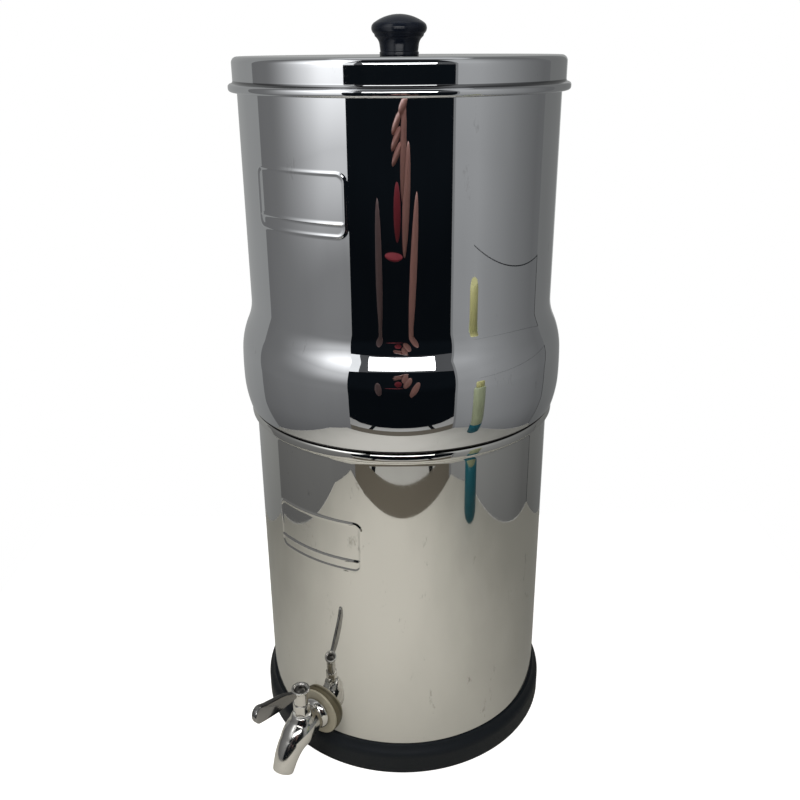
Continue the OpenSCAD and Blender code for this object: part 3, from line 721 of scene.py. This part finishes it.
# %% Give the blade its thickness
bpy.ops.mesh.edge_face_add()
bpy.ops.mesh.extrude_region_move(TRANSFORM_OT_translate={"value": (BLADE_T * MM, 0, 0)})
bpy.ops.mesh.select_all(action="SELECT")
bpy.ops.mesh.normals_make_consistent(inside=False)
bpy.ops.object.mode_set(mode="OBJECT")
for point in blade.data.vertices:
    reach = STEM_Y - point.co.y / MM
    if point.co.x / MM > blade_side(reach, point.co.z / MM):
        point.co.x += TAPER * (reach - TAPER_X) * MM
bpy.ops.object.mode_set(mode="EDIT")
bpy.ops.mesh.edges_select_sharp(sharpness=math.radians(60))
bpy.ops.mesh.bevel(offset=BLADE_ROUND * MM, segments=4)
bpy.ops.object.mode_set(mode="OBJECT")
finished(blade, "lever", "tap_metal", shaded_blade_chrome, crease=50)

# %% Turn the screw in the hub
screw_z = hub_top - 0.93
section = [(0, screw_z), (4.1, screw_z), (4.2, screw_z + 0.3)]
section += arc(0, screw_z - 5.0, 6.3, 52, 76, 8) + [(1.3, screw_z + 0.35), (0, screw_z + 0.35)]
screw_head = spun("hub_screw", section, [(48, 360)], y=STEM_Y)
finished(screw_head, "lever", "steel_dark", dark_steel, "lever_screw", crease=35)

# %% [markdown]
# ## Washers of the tap
# An olive rubber gasket lies against the curved wall, and the tap's flange clamps a
# cream nylon washer on it. Plain tubes would do from afar, but rounded edges tell
# rubber from nylon, so each is a turned ring. The gasket's back is then pushed to
# the wall's curve.


# %% Turn the washers
def washer(name, inner, outer, back, front, round_off):
    """A ring on the tap's axis, from back to front in mm out from the wall, with rounded edges."""
    section = [(inner, back), (outer - round_off, back)]
    section += arc(outer - round_off, back + round_off, round_off, -70, 0, 4)
    section += arc(outer - round_off, front - round_off, round_off, 0, 90, 5)
    section += [(inner, front), (inner, back)]
    piece = spun(name, section, [(96, 360)])
    piece.rotation_euler = (math.pi / 2, 0, 0)
    piece.location = (0, -LOWER_R * MM, TAP_Z * MM)
    bpy.ops.object.transform_apply(location=True, rotation=True, scale=True)
    return piece


GASKET_T, WASHER_T, CLAMPED = 2.4, 1.8, 0.02
hole_r = SHANK_R + 0.1
gasket = washer("olive_gasket", hole_r, WASHER_R, 0.0, GASKET_T, 0.7)
for point in gasket.data.vertices:
    if point.co.y > -(LOWER_R + 0.75) * MM:
        point.co.y = -math.sqrt((LOWER_R * MM) ** 2 - point.co.x ** 2)
finished(gasket, "lower", "rubber_olive", gasket_rubber, "tap_outer_gasket")
nylon_washer = washer("cream_washer", hole_r, WASHER_R - 0.3, GASKET_T + CLAMPED,
                      GASKET_T + CLAMPED + WASHER_T, 0.5)
finished(nylon_washer, "lower", "washer_pale", washer_nylon, "tap_washer")

# %% [markdown]
# ## Finishes for the solids that stay
# The filter elements, nuts, plugs and washers are seen only when the chambers are
# lifted apart. Their CAD solids are true enough for that, so they keep their shape
# and take the finish of what each one is made of.

# %% Give each remaining solid its finish
inner_finishes = {
    "base_pad": ring_rubber, "tap_inner_gasket": washer_nylon, "tap_lock_nut": turned_steel,
    "valve_sleeve": valve_ptfe, "stem_o_ring": ring_rubber, "valve_plug": turned_steel,
    "filter_body_left": carbon_block, "filter_body_right": carbon_block,
    "filter_cap_left": black_plastic, "filter_cap_right": black_plastic,
    "filter_washers": ring_rubber, "wing_nut_left": black_plastic,
    "wing_nut_right": black_plastic, "hole_plugs": white_plastic, "plug_washers": ring_rubber,
    "plug_nuts": white_plastic, "knob_washer": turned_steel, "knob_screw": turned_steel}
for name, finish in inner_finishes.items():
    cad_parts[name].data.materials[0] = finish
print(len(inner_finishes), "solids keep their CAD shape")

# %% [markdown]
# ## The light tent
# Polished steel shows its surroundings more than itself. A picture round the world
# would never line up with so near a mirror, so the surroundings are built: a tent of
# pale cloth with an open front, lamps above the opening, and a dark room beyond it.
# The camera looks through the cloth to a white world.

# %% Put a thing on the stage
VIEW = 35.5  # degrees from the tap round to the camera


def staged(piece, finish, seen=False):
    """Turns a thing that is built in the camera's plan to its place on the stage."""
    piece.data.materials.clear()
    piece.data.materials.append(finish)
    piece.rotation_euler = (0, 0, math.radians(VIEW))
    piece.visible_camera = seen
    piece.visible_shadow = seen


def sheet(name, corners, finish, seen=False):
    """A flat sheet with four corners, given as right, away and up from the camera's side."""
    select_only()
    bpy.ops.mesh.primitive_plane_add(size=1)
    piece = bpy.context.object
    piece.name = name
    for point, corner in zip(piece.data.vertices, corners):
        point.co = corner
    staged(piece, finish, seen)


def upright(name, start, end, low, high, finish):
    """A wall between two plan points."""
    sheet(name, [(*start, low), (*end, low), (*start, high), (*end, high)], finish)


def level_sheet(name, side, near, far, height, finish, seen=False):
    sheet(name, [(-side, -near, height), (side, -near, height),
                 (-side, -far, height), (side, -far, height)], finish, seen)


# %% [markdown]
# ## Cloth that shines
# A tent's cloth is lit from outside. Lamps behind a thin diffuse sheet take long to
# render without grain, so the cloth shines by itself, at a level that falls going
# back and towards the floor, with a glow near the lamps and an unevenness like folds.


# %% Shining cloth
FADE_FROM, FADE_TO = -0.34, 0.05  # between these places going back, its level changes
FOOT_Z_TOP, FOOT_LEVEL = 0.22, 0.66  # it is dimmer below this height, down to this share
GLOW_FROM, GLOW_TO = -0.42, -0.02  # between these places going back, the lamps' glow dies
CLIMB, CLIMB_UP = (0.26, 0.39), 0.85  # the glow climbs at these heights, by this much
PEAK, PEAK_UP = (0.40, 0.60), 2.8  # and again, level with the lamps


def glowing(name, colour, near, far, glow=0.0):
    """Cloth that shines from near to far levels going back, with a lamp's glow at its front."""
    finish, tree, place = new_finish(name)
    split = add(tree, "SeparateXYZ", links={0: place})
    back, up = split.outputs["Y"], split.outputs["Z"]
    base = add(tree, "MapRange",
               {"From Min": FADE_FROM, "From Max": FADE_TO, "To Min": near, "To Max": far},
               {"Value": back})
    foot = add(tree, "MapRange", {"From Max": FOOT_Z_TOP, "To Min": FOOT_LEVEL},
               {"Value": up})
    dim = add(tree, "Math", links={0: base, 1: foot}, operation="MULTIPLY")
    reach = add(tree, "MapRange",
                {"From Min": GLOW_FROM, "From Max": GLOW_TO, "To Min": glow, "To Max": 0.0},
                {"Value": back}, interpolation_type="SMOOTHSTEP")
    climb = add(tree, "MapRange", {"From Min": CLIMB[0], "From Max": CLIMB[1], "To Max": CLIMB_UP},
                {"Value": up}, interpolation_type="SMOOTHSTEP")
    peak = add(tree, "MapRange", {"From Min": PEAK[0], "From Max": PEAK[1], "To Max": PEAK_UP},
               {"Value": up})
    both = add(tree, "Math", links={0: climb, 1: peak}, operation="ADD")
    shine = add(tree, "Math", links={0: reach, 1: both}, operation="MULTIPLY")
    level = add(tree, "Math", links={0: dim, 1: shine}, operation="ADD")
    fold = add(tree, "TexNoise", {"Scale": per_metre(250)}, {"Vector": place})
    soft = add(tree, "MapRange", {"To Min": 0.9, "To Max": 1.1}, {"Value": fold})
    power = add(tree, "Math", links={0: level, 1: soft}, operation="MULTIPLY")
    lit = add(tree, "Emission", {"Color": linear(colour)}, {"Strength": power})
    add(tree, "OutputMaterial", links={"Surface": lit})
    return finish


# White nylon with daylight behind it: cool greys that darken going back.
left_cloth = glowing("left_cloth", "#f6f7f8", 0.30, 0.215, 0.67)
right_cloth = glowing("right_cloth", "#f4f6f7", 0.42, 0.20, 0.06)
left_back = glowing("left_back_cloth", "#f4f6f5", 0.41, 0.41)
right_back = glowing("right_back_cloth", "#f4f6f5", 0.24, 0.24)
right_edge = glowing("right_edge_cloth", "#f4f6f7", 0.30, 0.30)
# Dark stitching: a thin line that shows where the cloth ends.
thread = glowing("seam_thread", "#2a2e30", 0.6, 0.6)

# %% [markdown]
# ## Walls of the tent
# Each side is a front, a wall and a slanting corner, and a flat back joins the two.
# A curved sheet would look softer, but a mirror shows a tent's straight folds, so
# flat walls meet in real edges. Thin dark strips just inside are the stitched seams.

# %% Hang the walls
TENT_SIDE, TENT_FRONT, TENT_TOP, OPENING = 0.40, 0.47, 1.30, 0.30
WALL_START, CORNER_X, BACK_Y = -0.36, 0.22, 0.26
sides = ((-1, "left", left_cloth, left_back, 0.075, 0.34),
         (1, "right", right_cloth, right_back, 0.115, 0.318))
for side, wall, cloth, back, turn, post in sides:
    corners = [(side * post, -TENT_FRONT), (side * TENT_SIDE, WALL_START),
               (side * TENT_SIDE, turn), (side * CORNER_X, BACK_Y)]
    for part, a, b in zip(("front", "wall", "corner"), corners, corners[1:]):
        upright(f"{wall}_{part}", a, b, 0, TENT_TOP, back if part == "corner" else cloth)
upright("left_edge", (-OPENING, -TENT_FRONT), (-0.34, -TENT_FRONT), 0, TENT_TOP, left_cloth)
upright("right_edge", (OPENING, -TENT_FRONT), (0.318, -TENT_FRONT), 0, TENT_TOP, right_edge)
upright("back_wall", (-CORNER_X, BACK_Y), (CORNER_X, BACK_Y), 0, TENT_TOP, left_back)
print("the tent is", 2 * TENT_SIDE, "m wide and", TENT_TOP, "m high")

# %% Stitch the seams and hang the ceiling
SEAM_Z = 0.2962
upright("right_seam", (TENT_SIDE - 0.002, WALL_START), (TENT_SIDE - 0.002, 0.113),
        SEAM_Z, SEAM_Z + 0.0012, thread)
upright("corner_seam", (TENT_SIDE - 0.001, 0.112), (TENT_SIDE - 0.003, 0.1155),
        0.0, 0.2975, thread)
level_sheet("ceiling", TENT_SIDE, TENT_FRONT, -0.27, TENT_TOP,
            glowing("ceiling_cloth", "#eceef0", 0.12, 1.0))
print("the side seam runs", round(SEAM_Z / MM), "mm above the floor")

# %% [markdown]
# ## The lintel
# A board hangs beyond the opening, behind the lamps, whose strip would otherwise
# float in black. It is a flat sheet, because the bulge shows it very small.

# %% Hang the lintel
# Like the cloth, the board shines by itself as painted light: dim, and brighter than white at its
# left end.
LINTEL_Y, LINTEL_LOW, LINTEL_TOP = -0.78, 0.525, 0.95
upright("lintel", (-0.47, LINTEL_Y), (0.75, LINTEL_Y), LINTEL_LOW, LINTEL_TOP,
        glowing("lintel_cloth", "#e9ecf0", 0.14, 0.14))
upright("lintel_end", (-0.75, LINTEL_Y + 0.001), (-0.40, LINTEL_Y + 0.001), LINTEL_LOW,
        LINTEL_TOP, glowing("lintel_end_cloth", "#f4f6f7", 1.4, 1.4))
print("the lintel hangs", round(-LINTEL_Y / MM), "mm in front of the filter's middle")

# %% [markdown]
# ## A bottle and a hand
# A mirror looks real when it holds something that one can name: a coloured bottle
# by the wall, and the hand and arm of someone in front. They are reflected so small
# that the bottle is three turned forms, and each finger or limb a drawn-out sphere.

# %% Turn the bottle
BOTTLE_X, BOTTLE_Y = 350, -316  # right and away, in mm
bottle_parts = (("foot", 0, 70, 36, "#135f6d"), ("body", 70, 222, 34, "#b3bb98"),
                ("tip", 222, 272, 24, "#cfcb8c"))
for name, low, high, wide, colour in bottle_parts:
    section = [(0, low), (wide - 2, low), (wide, low + 3), (wide, high - 6), (wide - 5, high),
               (0, high)]
    bottle = spun(f"bottle_{name}", section, [(24, 360)], x=BOTTLE_X, y=BOTTLE_Y)
    bpy.ops.object.shade_smooth_by_angle(angle=math.radians(40))
    staged(bottle, plain_finish(f"bottle_{name}_plastic", colour, 0.4, 3.0, 0.01))
    print(bottle.name, "stands from", low, "to", high, "mm")

# %% Shape the hand and arm
ARM_Y, ARM_DEEP = -0.62, 18  # how far away in metres, and half its depth in mm
# Skin and red cotton: dull, warm and dark, as they look from inside a mirror; the far arm's skin
# is a darker copy of the skin, painted shade.
skin_tone = plain_finish("skin", "#8e645b", 0.5, 4.0, 0.1)
shade_tone = plain_finish("shaded_skin", "#54403f", 0.6, 4.0, 0.1)
red_cotton = plain_finish("red_cotton", "#6d1c26", 0.9, 2.0, 0.2)
limbs = (("finger_1", (20, 442), (30, 9), 14, skin_tone),
         ("finger_2", (-22, 424), (34, 8), 20, skin_tone),
         ("finger_3", (-26, 406), (34, 8), 20, skin_tone),
         ("finger_4", (-22, 389), (34, 8), 20, skin_tone),
         ("palm", (22, 395), (20, 62), -8, skin_tone),
         ("wrist", (40, 335), (24, 70), -14, skin_tone),
         ("forearm", (88, 248), (24, 100), -15, skin_tone),
         ("far_arm", (-155, 248), (24, 88), 4, shade_tone),
         ("sleeve", (-22, 322), (24, 36), 0, red_cotton),
         ("cuff", (-48, 268), (62, 4), 0, red_cotton))
for name, (across, height), (wide, tall), lean, finish in limbs:
    select_only()
    bpy.ops.mesh.primitive_uv_sphere_add(segments=32, ring_count=16, radius=MM)
    limb = bpy.context.object
    limb.name = name
    bpy.ops.transform.resize(value=(wide, ARM_DEEP, tall))
    bpy.ops.transform.rotate(value=math.radians(lean), orient_axis="Y", center_override=(0, 0, 0))
    bpy.ops.transform.translate(value=(across * MM, ARM_Y, height * MM))
    bpy.ops.object.transform_apply(location=True, rotation=True, scale=True)
    bpy.ops.object.shade_smooth()
    staged(limb, finish)
print(len(limbs), "forms make the hand and arms")

# %% [markdown]
# ## The floor
# The filter stands on pale matt cloth. Steel mirrors that cloth in warm greys, with a
# pool of the lamps' light painted into its colour. For the camera alone the cloth also
# shines nearly white, which leaves only the filter's shadow on it. Past the opening lie
# a brown flap, a bench with two straps, and the dark room.


# %% Cloth of the floor
CAMERA_WHITE = 0.93  # what the camera gets on top of the cloth's own light
LIGHT_POOL_AT, POOL_R, POOL_FADED_R = (-0.09, -0.34, 0.0), 0.12, 0.62  # a pool of the lamps' light, painted on the cloth


def floor_cloth(name, colour, far_colour, seen):
    """Matt cloth with a painted pool of the lamps' light, paler near them. Where it is seen, the
    camera gets it nearly white.
    """
    finish, tree, place = new_finish(name)
    fleck = add(tree, "TexNoise", {"Scale": per_metre(111.1), "Detail": 5.0}, {"Vector": place})
    away = add(tree, "VectorMath", {1: LIGHT_POOL_AT}, {0: place}, operation="DISTANCE")
    wander = add(tree, "Math", {1: 0.12}, {0: fleck}, operation="MULTIPLY")
    reach = add(tree, "Math", links={0: away.outputs["Value"], 1: wander}, operation="ADD")
    pool_fade = add(tree, "MapRange", {"From Min": POOL_R, "From Max": POOL_FADED_R}, {"Value": reach},
               interpolation_type="SMOOTHSTEP")
    tone = add(tree, "Mix", {"A": linear(colour), "B": linear(far_colour)}, {"Factor": pool_fade},
               data_type="RGBA")
    surface = add(tree, "BsdfPrincipled", {"Roughness": 0.9},
                  {"Base Color": tone.outputs["Result"]})
    if seen:
        path = add(tree, "LightPath")
        share = add(tree, "Math", {1: CAMERA_WHITE}, {0: path.outputs["Is Camera Ray"]},
                    operation="MULTIPLY")
        white = add(tree, "Emission", {"Color": (1, 1, 1, 1)}, {"Strength": share})
        surface = add(tree, "AddShader", links={0: surface, 1: white})
    add(tree, "OutputMaterial", links={"Surface": surface})
    return finish


# %% Lay the floor and what lies before it
BENCH_NEAR, BENCH_FAR, BENCH_Z = 0.635, 0.56, -0.01
# Matt cotton: a warm grey that steel mirrors without any glint.
pale_cloth = floor_cloth("pale_cloth", "#ece8de", "#a3a199", True)
level_sheet("tent_floor", TENT_SIDE, TENT_FRONT, -BACK_Y, -0.0003, pale_cloth, True)
level_sheet("front_flap", TENT_SIDE, 0.55, TENT_FRONT, -0.0003,
            floor_cloth("brown_flap", "#746d61", "#625c52", False))
level_sheet("outer_bench", 0.5, BENCH_NEAR, BENCH_FAR, BENCH_Z,
            floor_cloth("pale_bench", "#d6d5d0", "#b4b3b0", False))
for name, x in (("left_strap", -0.205), ("right_strap", 0.205)):
    strap_z = BENCH_Z + 0.003
    sheet(name, [(x - 0.014, -BENCH_NEAR, strap_z), (x + 0.014, -BENCH_NEAR, strap_z),
                 (x - 0.014, -BENCH_FAR, strap_z), (x + 0.014, -BENCH_FAR, strap_z)], thread)
# The unlit room beyond the opening: a sheet of painted shade, almost black, a little blue.
unlit_room_shade = glowing("painted_room_shade", "#8fa6bd", 0.02, 0.02)
upright("dark_room", (-3.0, -1.6), (3.0, -1.6), -0.5, 6.0, unlit_room_shade)
level_sheet("dark_ground", 1.4, 1.6, 0.636, -0.012, unlit_room_shade)
print("the floor reaches from", -TENT_FRONT, "to", BACK_Y, "m")

# %% [markdown]
# ## World and lamps
# A world of strength 1 is white to the camera, to mirrors and through glass, and
# dimmer as light. Two area lamps do the rest: a strip over the opening, which makes
# the long bright bar in the bulge, and a soft one in the tent's roof, which would
# show as a hard rectangle in the lid, so mirrors miss it.

# %% The world
WORLD_LIGHT = 0.6
world = bpy.data.worlds.new("white_room")
bpy.context.scene.world = world
world.use_nodes = True
tree = world.node_tree
tree.nodes.clear()
path = add(tree, "LightPath")
mirrored = add(tree, "Math",
               links={0: path.outputs["Is Camera Ray"], 1: path.outputs["Is Glossy Ray"]},
               operation="MAXIMUM")
shown = add(tree, "Math", links={0: mirrored, 1: path.outputs["Is Transmission Ray"]},
            operation="MAXIMUM")
level = add(tree, "MapRange", {"To Min": WORLD_LIGHT}, {"Value": shown})
sky = add(tree, "Background", {"Color": (1, 1, 1, 1)}, {"Strength": level})
add(tree, "OutputWorld", links={"Surface": sky})
print("the world lights at", WORLD_LIGHT, "and shows at 1")


# %% The lamps
def lamp(name, place, aim, wide, tall, power):
    """An area lamp at a place right, away and up from the camera's side, turned to its aim."""
    light = bpy.data.lights.new(name, "AREA")
    light.shape = "RECTANGLE"
    light.size, light.size_y = wide, tall
    light.energy = power
    holder = bpy.data.objects.new(name, light)
    bpy.context.scene.collection.objects.link(holder)
    spin = Matrix.Rotation(math.radians(VIEW), 4, "Z")
    facing = (Vector(aim) - Vector(place)).to_track_quat("-Z", "Y").to_matrix().to_4x4()
    holder.matrix_world = spin @ Matrix.Translation(place) @ facing
    holder.visible_camera = False
    print(name, "gives", power, "W")
    return holder


lamp("lamp_strip", (0.004, -0.74, 0.62), (0, 0, 0.40), 0.60, 0.15, 2.2)
roof_lamp = lamp("tent_top", (0, -0.15, 1.28), (0, -0.12, 0), 0.75, 0.60, 7)
roof_lamp.visible_glossy = False

# %% [markdown]
# ## The camera
# It stands 0.6 m away, a little above the lid, and looks down, so the lid's top is a
# thin ellipse and the base ring a fuller one. A track-to constraint would aim it,
# but typed angles also hold its slight roll.

# %% Camera
AWAY, UP = 598.0, 503.3  # from the filter's axis and above the floor, in mm
PITCH, ROLL = 68.915, -0.4  # degrees from straight down, and of roll
camera = bpy.data.objects.new("camera", bpy.data.cameras.new("camera"))
bpy.context.scene.collection.objects.link(camera)
camera.data.lens = 38.34
camera.data.sensor_width = 36
camera.data.shift_x = -0.0019
camera.data.shift_y = -0.03
camera.data.clip_start = 0.01
side = math.radians(VIEW)
camera.location = (AWAY * MM * math.sin(side), -AWAY * MM * math.cos(side), UP * MM)
turn = Matrix.Rotation(side, 3, "Z") @ Matrix.Rotation(math.radians(PITCH), 3, "X")
camera.rotation_euler = (turn @ Matrix.Rotation(math.radians(ROLL), 3, "Z")).to_euler()
bpy.context.scene.camera = camera
bpy.context.scene.view_settings.view_transform = "Standard"
print("camera at", [round(v, 3) for v in camera.location])
